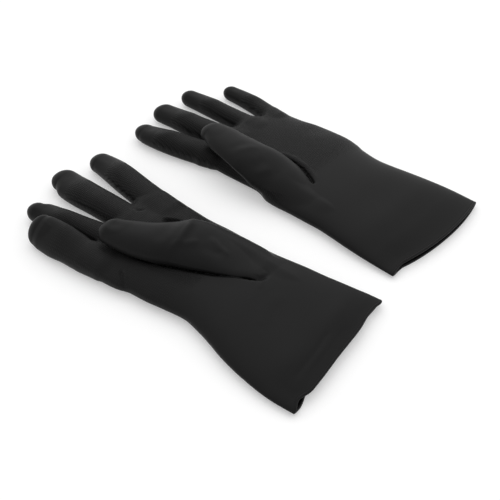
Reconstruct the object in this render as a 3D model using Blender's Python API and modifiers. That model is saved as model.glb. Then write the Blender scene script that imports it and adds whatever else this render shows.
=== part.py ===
"""Pair of heavy rubber gauntlet gloves, laid on their backs with the palms up.

Metres, +Z up.  The fingers point along +Y and the cuff mouths face -Y.  The right-hand glove
lies on the -X side and the left-hand glove on the +X side, thumbs towards each other.
Each glove is a seamless dipped rubber shell.  It is divided where the rubber flexes (wrist,
knuckle line and thumb root), so that cuff, hand, finger stalls and thumb stall can move, and
it has a rolled bead round the mouth of the cuff.

Every shell is a loft of cross-sections taken across the glove at stations along Y.  A station
is (y, centre x, half width, lowest z, highest z, squareness), in millimetres, in the glove's
own frame: origin on the floor under the middle of the cuff mouth, +x towards the thumb.
"""

import math

import bpy
from mathutils import Vector

MM = 0.001

# Rubber and clearances, mm
WALL = 1.6          # rubber wall
GAP = 0.3           # clearance between neighbouring shells
BEAD_R = 1.8        # radius of the rolled bead round the mouth
BACK_FLAT = 1.6     # how far the rounded back is pressed flat by the floor

# Points round a cross-section
BODY_POINTS = 28
THUMB_POINTS = 20
FINGER_POINTS = 16

# Where each glove lies: cuff-mouth centre x, y (mm) and turn about +Z (degrees)
RIGHT_PLACE = (-88.9, -175.7, 3.3)
LEFT_PLACE = (83.9, -164.6, -3.3)

# ------------------------------------------------------------------ right-hand glove, mm
RIGHT = {
    "side": 1,
    "wrist": 88.0,
    "knuckle": 248.0,
    "thumb_root": 200.0,
    "mouth_bulge": 0.0,
    "body": [
        (4, -0.7, 70.0, 1.1, 12.0, 2.5),
        (25, -1.0, 69.3, 0.0, 15.5, 2.5),
        (50, -0.5, 65.8, 0.0, 18.5, 2.5),
        (75, 0.8, 60.3, 0.0, 21.5, 2.5),
        (88, 2.2, 57.3, 0.0, 22.5, 2.5),
        (105, 4.5, 53.5, 0.0, 23.5, 2.5),
        (125, 6.5, 51.0, 0.0, 24.5, 2.6),
        (150, 5.3, 51.8, 0.0, 25.0, 2.7),
        (180, 3.3, 52.8, 0.0, 24.5, 2.8),
        (210, 3.8, 56.3, 0.0, 23.8, 3.0),
        (235, 5.5, 60.5, 0.0, 22.8, 3.4),
        (248, 6.5, 62.5, 0.0, 22.0, 3.8),
    ],
    "thenar": [
        (92, 30, 15, 3.0, 19.0, 2.2),
        (110, 25, 23, 3.0, 28.0, 2.2),
        (130, 19, 29, 4.0, 36.5, 2.2),
        (150, 15, 33, 5.0, 43.0, 2.2),
        (170, 9, 34, 8.0, 47.5, 2.2),
        (186, 2, 31, 15.0, 50.0, 2.2),
        (200, -5, 26.5, 25.2, 51.0, 2.2),
    ],
    "thumb": [
        (200, -5, 26.5, 25.2, 51.0, 2.2),
        (207, -9, 23.5, 25.4, 51.0, 2.2),
        (218, -13, 20.0, 25.6, 50.0, 2.2),
        (230, -16.0, 16.5, 25.6, 48.0, 2.2),
    ],
    "thumb_tip": 242.5,
    "fingers": {
        "index": ([(0, 53.2, 15.8, 0, 22.0, 3.8), (15, 56.5, 15.2, 0, 21.8, 2.8), (40, 63.5, 14.6, 0, 21.2, 2.4),
                   (65, 69.0, 13.8, 0.5, 20.8, 2.3), (80, 71.5, 12.6, 0.8, 20.0, 2.2)], 92),
        "middle": ([(0, 20.8, 15.8, 0, 22.0, 3.8), (15, 22.0, 15.4, 0, 21.8, 2.8), (40, 23.5, 15.4, 0, 21.2, 2.4),
                    (70, 25.5, 14.8, 0.5, 20.8, 2.3), (87, 27.5, 13.0, 0.8, 20.0, 2.2)], 100),
        "ring": ([(0, -9.7, 13.9, 0, 22.0, 3.8), (15, -11.5, 13.0, 0, 21.2, 2.8), (35, -14.3, 12.2, 0, 20.0, 2.4),
                  (60, -17.5, 11.5, 0.5, 19.2, 2.3), (73, -18.5, 10.5, 0.8, 18.5, 2.2)], 84),
        "little": ([(0, -40.2, 15.8, 0, 22.0, 3.8), (15, -42.2, 14.9, 0, 22.5, 2.8), (30, -43.6, 14.4, 1.0, 23.5, 2.4),
                    (44, -44.0, 13.4, 3.0, 24.0, 2.3)], 58),
    },
}

# ------------------------------------------------------------------ left-hand glove, mm
LEFT = {
    "side": -1,
    "wrist": 88.0,
    "knuckle": 256.0,
    "thumb_root": 200.0,
    "mouth_bulge": 7.0,
    "body": [
        (3, 0.0, 68.5, 1.1, 14.0, 2.5),
        (25, 1.2, 67.3, 0.0, 17.0, 2.5),
        (50, 2.5, 65.5, 0.0, 19.5, 2.5),
        (75, 3.2, 63.3, 0.0, 21.5, 2.5),
        (88, 3.5, 62.0, 0.0, 22.5, 2.5),
        (105, 4.0, 61.0, 0.0, 23.5, 2.5),
        (130, 4.0, 61.5, 0.0, 24.5, 2.6),
        (150, 2.0, 63.0, 0.0, 25.0, 2.7),
        (170, -1.2, 62.5, 0.0, 24.5, 2.8),
        (190, -1.5, 60.5, 0.0, 24.2, 2.9),
        (210, 1.5, 59.5, 0.0, 23.8, 3.0),
        (235, 6.5, 61.0, 0.0, 22.8, 3.4),
        (256, 8.5, 65.5, 0.0, 22.0, 3.8),
    ],
    "thenar": [
        (105, 44, 14, 3.0, 19.0, 2.2),
        (125, 44, 18.5, 3.0, 29.0, 2.2),
        (145, 44, 21.5, 4.0, 37.5, 2.2),
        (165, 46, 22.5, 7.0, 43.0, 2.2),
        (185, 48, 22.5, 14.0, 46.5, 2.2),
        (200, 49, 21.8, 25.2, 48.0, 2.2),
    ],
    "thumb": [
        (200, 49, 21.8, 25.2, 48.0, 2.2),
        (208, 49.2, 21.0, 25.4, 48.0, 2.2),
        (225, 48.0, 17.8, 25.6, 46.5, 2.2),
        (244, 44.5, 13.6, 25.6, 44.5, 2.2),
    ],
    "thumb_tip": 255.5,
    "fingers": {
        "index": ([(0, 56.7, 17.3, 0, 22.0, 3.8), (12, 60.5, 15.7, 0, 21.8, 2.8), (40, 67.0, 14.3, 0, 21.2, 2.4),
                   (59, 69.8, 12.8, 0.8, 20.0, 2.2)], 72),
        "middle": ([(0, 19.0, 19.6, 0, 22.0, 3.8), (15, 24.0, 15.8, 0, 21.8, 2.8), (40, 28.0, 14.6, 0, 21.2, 2.4),
                    (62, 30.0, 13.4, 0.5, 20.6, 2.3), (75, 30.5, 12.2, 0.8, 20.0, 2.2)], 87),
        "ring": ([(0, -17.5, 16.1, 0, 22.0, 3.8), (15, -15.5, 12.7, 0, 20.6, 2.8), (40, -13.0, 11.4, 0, 19.4, 2.4),
                  (65, -12.2, 10.8, 0.5, 18.8, 2.3), (76, -12.0, 10.2, 0.8, 18.0, 2.2)], 87),
        "little": ([(0, -45.7, 11.3, 0, 22.0, 3.4), (15, -48.2, 9.8, 0, 18.4, 2.6), (38, -50.8, 9.0, 0, 17.0, 2.3),
                    (52, -53.0, 8.4, 0.5, 16.4, 2.2)], 62),
    },
}


# ---------------------------------------------------------------------------- geometry
def smooth(table, y):
    """The station at y, read from a smooth curve through the table's own stations."""
    ys = [row[0] for row in table]
    y = min(max(y, ys[0]), ys[-1])
    i = min(max(sum(1 for v in ys if v <= y) - 1, 0), len(ys) - 2)
    t = (y - ys[i]) / (ys[i + 1] - ys[i])
    out = []
    for k in range(1, len(table[0])):
        p1, p2 = table[i][k], table[i + 1][k]
        d = ys[i + 1] - ys[i]
        m1 = (p2 - table[i - 1][k]) / (ys[i + 1] - ys[i - 1]) * d if i > 0 else p2 - p1
        m2 = (table[i + 2][k] - p1) / (ys[i + 2] - ys[i]) * d if i + 2 < len(ys) else p2 - p1
        out.append((2 * t**3 - 3 * t**2 + 1) * p1 + (t**3 - 2 * t**2 + t) * m1
                   + (3 * t**2 - 2 * t**3) * p2 + (t**3 - t**2) * m2)
    out[2] = max(out[2], 0.0)
    return out


def section(y, station, count, inset=0.0, scale=1.0, bulge=0.0):
    """One cross-section: a rounded shape with its back pressed flat on the floor."""
    xc, half, low, high, square = station
    half -= inset
    low += inset
    high -= inset
    mid, rise = (low + high) / 2, (high - low) / 2
    ring = []
    for k in range(count):
        a = 2 * math.pi * (k + 0.5) / count
        c, s = math.cos(a), math.sin(a)
        x = half * scale * math.copysign(abs(c) ** (2 / square), c)
        z = math.copysign(abs(s) ** (2 / square), s)
        z = max(z * (rise + BACK_FLAT), -rise) if z < 0 else z * rise
        ring.append(Vector((xc + x, y - bulge * (1 - (x / half) ** 2), mid + z * scale)))
    return ring


def stall_rings(table, first, tip, count, ys):
    """Rings of a finger or thumb stall: open at its root, rounded off at its tip."""
    root, last = table[0][0], table[-1][0]
    # The first band is straight, so that the rim of the wall stays in one plane.
    rings = [section(first + root + y, smooth(table, root), count) for y in (GAP, 2.5)]
    rings += [section(first + y, smooth(table, y), count) for y in ys[1:]]
    for share in (0.42, 0.72, 0.92):
        rings.append(section(first + last + (tip - last) * share, smooth(table, last), count,
                             scale=math.sqrt(1 - share * share)))
    xc, _, low, high, _ = table[-1][1:]
    return rings, Vector((xc, first + tip, (low + high) / 2))


def spread(low, high, step):
    n = max(1, round((high - low) / step))
    return [low + (high - low) * k / n for k in range(n + 1)]


# ---------------------------------------------------------------------- Blender objects
def clear_scene():
    for obj in list(bpy.data.objects):
        bpy.data.objects.remove(obj, do_unlink=True)


def rubber(name, colour, roughness):
    mat = bpy.data.materials.new(name)
    mat.use_nodes = True
    bsdf = mat.node_tree.nodes["Principled BSDF"]
    bsdf.inputs["Base Color"].default_value = (*colour, 1.0)
    bsdf.inputs["Roughness"].default_value = roughness
    bsdf.inputs["Metallic"].default_value = 0.0
    return mat


def loft(name, glove, rings, where, pole=None, caps=False, origin=(0, 0, 0), mat=None):
    """A skin over the rings, in the glove's frame.  The left glove is the right one mirrored."""
    side = glove["side"]
    base = Vector((origin[0] * side, origin[1], origin[2])) * MM
    verts, faces, n = [], [], len(rings[0])
    for ring in rings:
        verts += [Vector((p.x * side, p.y, p.z)) * MM - base for p in ring]
    for r in range(len(rings) - 1):
        for k in range(n):
            a, b = r * n + k, r * n + (k + 1) % n
            faces.append((a, a + n, b + n, b))
    end = (len(rings) - 1) * n
    if pole is not None:
        verts.append(Vector((pole.x * side, pole.y, pole.z)) * MM - base)
        faces += [(end + k, len(verts) - 1, end + (k + 1) % n) for k in range(n)]
    if caps:
        faces.append(tuple(range(n)))
        if pole is None:
            faces.append(tuple(end + k for k in reversed(range(n))))
    if side > 0:
        faces = [tuple(reversed(f)) for f in faces]
    faces = [tuple(reversed(f)) for f in faces]
    mesh = bpy.data.meshes.new(name)
    mesh.from_pydata(verts, [], faces)
    mesh.validate()
    obj = bpy.data.objects.new(name, mesh)
    where.objects.link(obj)
    obj.parent = glove["empty"]
    obj.location = base
    if mat:
        mesh.materials.append(mat)
        mesh.shade_smooth()
        mesh.set_sharp_from_angle(angle=math.radians(40))
    return obj


def wall(obj):
    """Turns an open skin into a rubber wall, inwards from its outer surface."""
    mod = obj.modifiers.new("Rubber wall", "SOLIDIFY")
    mod.thickness = WALL * MM
    mod.offset = -1
    mod.use_even_offset = True


def helper(obj):
    obj.hide_render = True
    obj.display_type = "WIRE"


def cut(obj, name, other, operation):
    mod = obj.modifiers.new(name, "BOOLEAN")
    mod.operation = operation
    mod.object = other
    mod.solver = "EXACT"


def cuff(glove, hand_name, parts, mat):
    """The gauntlet, from the mouth to the wrist, and the rolled bead round its mouth."""
    table, wrist = glove["body"], glove["wrist"]

    mouth = table[0][0]

    def ring(y):
        fade = (1 - min(1.0, (y - mouth) / 45)) ** 2
        return section(y, smooth(table, y), BODY_POINTS, bulge=glove["mouth_bulge"] * fade)

    top = smooth(table, wrist)[3]
    obj = loft(f"{hand_name}_gauntlet_cuff", glove, [ring(y) for y in (mouth, 12, 28, 48, 68, wrist)], parts,
               origin=(0, wrist + GAP / 2, top + 0.5), mat=mat)
    wall(obj)

    # The bead: a tube that follows the middle of the wall, just past its edge.
    side = glove["side"]
    path = section(mouth, smooth(table, mouth), 36, inset=WALL / 2, bulge=glove["mouth_bulge"])
    curve = bpy.data.curves.new(f"{hand_name}_cuff_bead", "CURVE")
    curve.dimensions = "3D"
    curve.bevel_depth = BEAD_R * MM
    curve.bevel_resolution = 1
    curve.resolution_u = 1
    spline = curve.splines.new("POLY")
    spline.points.add(len(path) - 1)
    for point, p in zip(spline.points, path):
        point.co = (p.x * side * MM, (p.y - BEAD_R - GAP) * MM, p.z * MM, 1)
    spline.use_cyclic_u = True
    bead = bpy.data.objects.new(f"{hand_name}_cuff_bead", curve)
    curve.materials.append(mat)
    parts.objects.link(bead)
    bead.parent = glove["empty"]


def hand(glove, hand_name, parts, cutters, mat):
    """Palm, back and ball of the thumb: two solids joined, then hollowed through all their ends."""
    body, thenar = glove["body"], glove["thenar"]
    low, high, root = glove["wrist"] + GAP, glove["knuckle"], glove["thumb_root"]
    ys = spread(low, high, 20)
    obj = loft(f"{hand_name}_hand_shell", glove, [section(y, smooth(body, y), BODY_POINTS) for y in ys], parts,
               caps=True, mat=mat)
    zs = spread(thenar[0][0], root, 14)
    ball = loft(f"{hand_name}_cutter_ball", glove, [section(y, smooth(thenar, y), THUMB_POINTS) for y in zs],
                cutters, caps=True)
    hollow = loft(f"{hand_name}_cutter_palm", glove,
                  [section(y, smooth(body, y), BODY_POINTS, inset=WALL) for y in [low - 4, *ys[1:-1], high + 4]],
                  cutters, caps=True)
    ball_hollow = loft(f"{hand_name}_cutter_ball_inside", glove,
                       [section(y, smooth(thenar, y), THUMB_POINTS, inset=WALL) for y in zs[:-1]]
                       + [section(root + 4, smooth(thenar, root), THUMB_POINTS, inset=WALL)],
                       cutters, caps=True)
    for other in (ball, hollow, ball_hollow):
        helper(other)
    cut(obj, "Ball of the thumb", ball, "UNION")
    cut(obj, "Palm inside", hollow, "DIFFERENCE")
    cut(obj, "Thumb inside", ball_hollow, "DIFFERENCE")


def stalls(glove, hand_name, parts, mat):
    """Four finger stalls and the thumb stall, each with its origin on the line it bends about."""
    knuckle = glove["knuckle"]
    for name, (table, tip) in glove["fingers"].items():
        ys = [y for y in (0, 7, 18, 32, 48, 64) if y < table[-1][0] - 6] + [table[-1][0]]
        rings, pole = stall_rings(table, knuckle, tip, FINGER_POINTS, ys)
        obj = loft(f"{hand_name}_{name}_finger_stall", glove, rings, parts, pole=pole,
                   origin=(table[0][1], knuckle + GAP / 2, table[0][4] + 0.5), mat=mat)
        wall(obj)
    table = glove["thumb"]
    ys = [table[0][0], table[0][0] + 8, table[0][0] + 18, table[0][0] + 28, table[-1][0]]
    if ys[-1] - ys[-2] > 15:
        ys.insert(-1, (ys[-1] + ys[-2]) / 2)
    rings, pole = stall_rings(table, 0, glove["thumb_tip"], THUMB_POINTS, ys)
    obj = loft(f"{hand_name}_thumb_stall", glove, rings, parts, pole=pole,
               origin=(table[0][1], glove["thumb_root"] + GAP / 2, table[0][4] + 0.5), mat=mat)
    wall(obj)


def build():
    clear_scene()
    scene = bpy.context.scene.collection
    parts = bpy.data.collections.new("insulating_gloves")
    cutters = bpy.data.collections.new("cutters")
    scene.children.link(parts)
    scene.children.link(cutters)
    mat = rubber("black_rubber", (0.022, 0.022, 0.022), 0.5)
    for hand_name, glove, place in (("right", RIGHT, RIGHT_PLACE), ("left", LEFT, LEFT_PLACE)):
        empty = bpy.data.objects.new(f"{hand_name}_glove", None)
        parts.objects.link(empty)
        empty.location = (place[0] * MM, place[1] * MM, 0)
        empty.rotation_euler = (0, 0, math.radians(place[2]))
        glove["empty"] = empty
        cuff(glove, hand_name, parts, mat)
        hand(glove, hand_name, parts, cutters, mat)
        stalls(glove, hand_name, parts, mat)


build()
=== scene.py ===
"""Looks of a pair of black rubber gauntlet gloves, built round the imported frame.

Each glove is sculpted as one implicit surface (cuff and palm, four fingers, thumb, with their
webs, creases and dents), meshed, and then divided where the frame's bodies meet.  Every piece is
a closed rubber shell with an outer skin, an inner skin and a rim where it meets its neighbour.
Lengths inside the sculpt are millimetres in each glove's own frame: origin under the middle of
the cuff mouth, +x towards the thumb, +y towards the fingers, +z up.
"""

import math

import bmesh
import bpy
import numpy as np
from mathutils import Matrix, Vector


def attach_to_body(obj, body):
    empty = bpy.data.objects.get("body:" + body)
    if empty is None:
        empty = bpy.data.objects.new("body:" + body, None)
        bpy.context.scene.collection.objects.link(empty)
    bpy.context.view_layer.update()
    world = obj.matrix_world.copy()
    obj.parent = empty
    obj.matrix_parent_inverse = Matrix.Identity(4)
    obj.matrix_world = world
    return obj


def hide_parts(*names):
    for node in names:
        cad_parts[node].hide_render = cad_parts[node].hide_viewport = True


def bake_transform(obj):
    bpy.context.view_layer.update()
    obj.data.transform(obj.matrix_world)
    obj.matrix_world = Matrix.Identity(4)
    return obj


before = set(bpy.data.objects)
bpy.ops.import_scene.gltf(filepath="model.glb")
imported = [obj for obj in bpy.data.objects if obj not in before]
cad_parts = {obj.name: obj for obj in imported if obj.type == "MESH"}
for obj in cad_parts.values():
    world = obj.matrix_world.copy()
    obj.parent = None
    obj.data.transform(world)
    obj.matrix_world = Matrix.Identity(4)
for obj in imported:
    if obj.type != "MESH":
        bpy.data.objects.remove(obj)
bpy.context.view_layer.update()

WALL = 1.5
CELL = 1.35
CELL_IN = 2.6
PLACE = {"right": (-88.9, -175.7, 3.3, 1), "left": (83.9, -164.6, -3.3, -1)}


# ------------------------------------------------------------------------------- curves
def smooth_table(rows, step=1.0):
    """Dense samples of a smooth curve through the rows; the first column is y."""
    t = np.array(rows, float)
    y, v = t[:, 0], t[:, 1:]
    h = np.diff(y)[:, None]
    d = np.diff(v, axis=0) / h
    m = np.zeros_like(v)
    m[0], m[-1] = d[0], d[-1]
    for i in range(1, len(y) - 1):
        w1, w2 = 2 * h[i, 0] + h[i - 1, 0], h[i, 0] + 2 * h[i - 1, 0]
        same = d[i - 1] * d[i] > 0
        with np.errstate(divide="ignore", invalid="ignore"):
            harmonic = (w1 + w2) / (w1 / d[i - 1] + w2 / d[i])
        m[i] = np.where(same, harmonic, 0.0)
    yd = np.arange(y[0], y[-1] + step / 2, step)
    i = np.clip(np.searchsorted(y, yd, side="right") - 1, 0, len(y) - 2)
    s = ((yd - y[i]) / h[i, 0])[:, None]
    hh = h[i]
    out = ((2 * s**3 - 3 * s**2 + 1) * v[i] + (s**3 - 2 * s**2 + s) * hh * m[i]
           + (3 * s**2 - 2 * s**3) * v[i + 1] + (s**3 - s**2) * hh * m[i + 1])
    return yd, out


def step01(x, a, b):
    t = np.clip((x - a) / (b - a), 0, 1)
    return t * t * (3 - 2 * t)


def smin(a, b, k):
    h = np.clip(0.5 + 0.5 * (b - a) / k, 0, 1)
    return b * (1 - h) + a * h - k * h * (1 - h)


def to_polyline(x, y, points):
    """Distance from (x, y) to a polyline, and how far along it, from 0 to 1."""
    p = np.array(points, float)
    seg = np.hypot(*np.diff(p, axis=0).T)
    total = seg.sum()
    best = np.full(x.shape, 1e9)
    along = np.zeros(x.shape)
    start = 0.0
    for i in range(len(seg)):
        ax, ay = p[i]
        bx, by = p[i + 1]
        dx, dy = bx - ax, by - ay
        t = np.clip(((x - ax) * dx + (y - ay) * dy) / (dx * dx + dy * dy), 0, 1)
        d = np.hypot(x - ax - t * dx, y - ay - t * dy)
        near = d < best
        best = np.where(near, d, best)
        along = np.where(near, (start + t * seg[i]) / total, along)
        start += seg[i]
    return best, along


def groove(x, y, points, width, depth, ends=0.15):
    """A soft valley (or a ridge, if depth is negative) along a polyline, fading at its ends."""
    d, t = to_polyline(x, y, points)
    return depth * np.exp(-((d / width) ** 2)) * step01(t, 0, ends) * step01(1 - t, 0, ends)


def blob(x, y, cx, cy, rx, ry, height, turn=0.0):
    c, s = math.cos(math.radians(turn)), math.sin(math.radians(turn))
    u = ((x - cx) * c + (y - cy) * s) / rx
    v = (-(x - cx) * s + (y - cy) * c) / ry
    return height * np.exp(-(u * u + v * v))


class Tube:
    """A flattened tube that runs along y.  Rows: y, centre x, half width, height of its widest
    level, rise above it, drop below it, squareness above, squareness below, twist in degrees."""

    def __init__(self, rows, root, tip):
        rows = [tuple(r) + (0.0,) * (9 - len(r)) for r in rows]
        self.y, self.p = smooth_table(rows)
        self.y0, self.y1 = rows[0][0], rows[-1][0]
        self.root, self.tip = root, tip

    def at(self, y):
        return [np.interp(y, self.y, self.p[:, k]) for k in range(8)]

    def distance(self, P, grow=None):
        x, y, z = P[:, 0], P[:, 1], P[:, 2]
        xc, a, zm, ht, hb, nt, nb, tw = self.at(y)
        dx, dz = x - xc, z - zm
        if np.any(self.p[:, 7]):
            c, s = np.cos(np.radians(tw)), np.sin(np.radians(tw))
            dx, dz = dx * c + dz * s, -dx * s + dz * c
        up = dz >= 0
        h = np.where(up, ht, hb)
        n = np.where(up, nt, nb)
        u, w = np.maximum(np.abs(dx) / a, 1e-5), np.maximum(np.abs(dz) / h, 1e-5)
        un, wn = u ** (n - 1), w ** (n - 1)
        F = (un * u + wn * w) ** (1 / n)
        Fn = F ** (1 - n)
        g2 = (un * Fn / a) ** 2 + (wn * Fn / h) ** 2
        v = np.where(y > self.y1, (y - self.y1) / self.tip, np.where(y < self.y0, (self.y0 - y) / self.root, 0.0))
        L = np.where(y > self.y1, self.tip, self.root)
        G = np.sqrt(F * F + v * v)
        return (G - 1) / np.sqrt((F / G) ** 2 * g2 + (v / G / L) ** 2)


# -------------------------------------------------------------------------- right glove
RIGHT = {
    "wrist": 88.0, "knuckle": 248.0, "thumb_root": 200.0,
    "body": Tube([
        (-14, 0.6, 71.9, 4.6, 5.0, 4.4, 2.6, 2.8),
        (0, 0.6, 71.9, 4.6, 5.2, 4.4, 2.6, 2.8),
        (12, 0.0, 71.7, 5.2, 6.6, 5.0, 2.5, 3.0),
        (25, -0.6, 70.6, 6.0, 8.0, 6.0, 2.4, 3.0),
        (50, 0.0, 67.1, 7.2, 10.0, 7.2, 2.3, 3.0),
        (75, 2.4, 62.8, 8.0, 11.6, 8.0, 2.3, 3.0),
        (88, 4.1, 59.7, 8.3, 12.2, 8.3, 2.3, 3.0),
        (105, 6.2, 56.2, 8.5, 12.5, 8.5, 2.3, 3.0),
        (125, 8.3, 54.0, 8.8, 12.6, 8.8, 2.3, 3.0),
        (150, 8.1, 55.7, 9.0, 12.6, 9.0, 2.4, 3.0),
        (165, 7.8, 56.8, 9.0, 12.5, 9.0, 2.4, 3.0),
        (180, 7.8, 57.0, 9.0, 12.4, 9.0, 2.5, 3.0),
        (195, 7.0, 59.4, 9.0, 12.2, 9.0, 2.6, 3.0),
        (210, 7.5, 60.7, 9.0, 12.0, 9.0, 2.7, 3.0),
        (226, 8.5, 61.1, 9.0, 11.8, 9.0, 2.8, 3.0),
        (238, 9.2, 61.8, 9.0, 11.2, 9.0, 2.8, 3.0),
    ], 14, 13),
    "thumb": Tube([
        (88, 28.0, 7.0, 13.0, 2.4, 5.0, 2.0, 2.2, -8),
        (101, 28.4, 12.4, 17.6, 3.0, 5.0, 2.0, 2.2, -9),
        (112, 29.0, 21.4, 18.4, 4.4, 5.4, 2.0, 2.4, -10),
        (128, 27.2, 27.2, 19.4, 8.4, 5.8, 2.0, 2.7, -9),
        (148, 22.0, 30.4, 21.4, 12.8, 6.2, 2.1, 3.0, -5),
        (161, 18.2, 31.2, 23.0, 15.2, 6.4, 2.1, 3.2, -2),
        (174, 11.6, 30.6, 24.4, 16.6, 6.0, 2.2, 3.4, 0),
        (187, 2.6, 26.8, 25.4, 14.8, 4.6, 2.2, 3.4, 0),
        (201, -5.6, 22.0, 26.6, 13.0, 4.4, 2.2, 3.4, 0),
        (218, -11.6, 17.8, 27.4, 11.8, 5.0, 2.2, 3.2, 0),
        (229, -14.8, 14.8, 28.2, 10.6, 5.6, 2.2, 2.8, 0),
    ], 8, 12.5),
    "fingers": {
        "index": Tube([
            (220, 50.5, 15.6, 9.3, 10.8, 9.3, 2.6, 2.8),
            (244, 56.0, 15.8, 9.3, 11.0, 9.3, 2.4, 2.6),
            (263, 60.2, 15.6, 9.4, 11.2, 9.4, 2.3, 2.5),
            (288, 65.6, 15.6, 10.2, 11.4, 10.0, 2.2, 2.4),
            (300, 68.2, 15.0, 10.2, 11.0, 9.8, 2.2, 2.4),
            (320, 72.2, 13.4, 9.4, 9.8, 9.0, 2.2, 2.3),
            (329, 73.4, 12.4, 9.0, 9.2, 8.6, 2.2, 2.2),
        ], 12, 12.5),
        "middle": Tube([
            (220, 20.5, 14.6, 9.3, 10.8, 9.3, 2.4, 2.6),
            (244, 21.8, 14.6, 9.3, 10.9, 9.3, 2.4, 2.6),
            (263, 23.0, 15.6, 9.4, 11.2, 9.4, 2.3, 2.5),
            (288, 24.0, 15.8, 10.2, 11.4, 10.0, 2.2, 2.4),
            (310, 25.3, 16.5, 9.8, 10.6, 9.6, 2.2, 2.4),
            (328, 27.4, 16.2, 9.2, 9.8, 9.0, 2.2, 2.3),
            (338, 30.6, 14.0, 9.0, 9.2, 8.6, 2.2, 2.2),
        ], 12, 14),
        "ring": Tube([
            (220, -9.0, 13.0, 9.3, 10.6, 9.3, 2.4, 2.6),
            (244, -9.8, 13.0, 9.2, 10.6, 9.2, 2.4, 2.6),
            (263, -11.8, 12.6, 9.2, 10.8, 9.2, 2.3, 2.5),
            (283, -14.6, 12.2, 9.8, 11.2, 9.6, 2.2, 2.4),
            (305, -17.2, 12.4, 9.2, 10.2, 9.0, 2.2, 2.3),
            (316, -18.0, 12.0, 8.8, 9.6, 8.6, 2.2, 2.2),
            (323, -20.2, 10.2, 8.8, 9.2, 8.4, 2.2, 2.2),
        ], 12, 12),
        "little": Tube([
            (220, -38.0, 15.0, 9.6, 10.8, 9.5, 2.3, 2.6, 0),
            (244, -40.0, 15.8, 10.9, 11.0, 9.9, 2.1, 2.5, 10),
            (258, -40.4, 16.2, 12.8, 10.6, 9.6, 2.0, 2.4, 24),
            (276, -41.6, 17.2, 14.4, 9.6, 9.0, 2.0, 2.2, 38),
            (290, -41.6, 16.6, 14.8, 8.8, 8.6, 2.0, 2.2, 42),
            (297, -40.9, 15.3, 14.2, 8.2, 8.2, 2.0, 2.2, 42),
        ], 12, 12.5),
    },
    "splits": [(39.0, 0.2), (6.4, 0.02), (-25.0, -0.05)],
    # where the ball of the thumb melts into the palm: side, from x, to x, fades between these y
    "melt": (1, 2, 16, 178, 198, 10.0),
    # where the web between fingers sits further out (or back): x, half width, mm
    "webs": [(42, 9, -6), (-22, 6, 5)],
}

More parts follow.
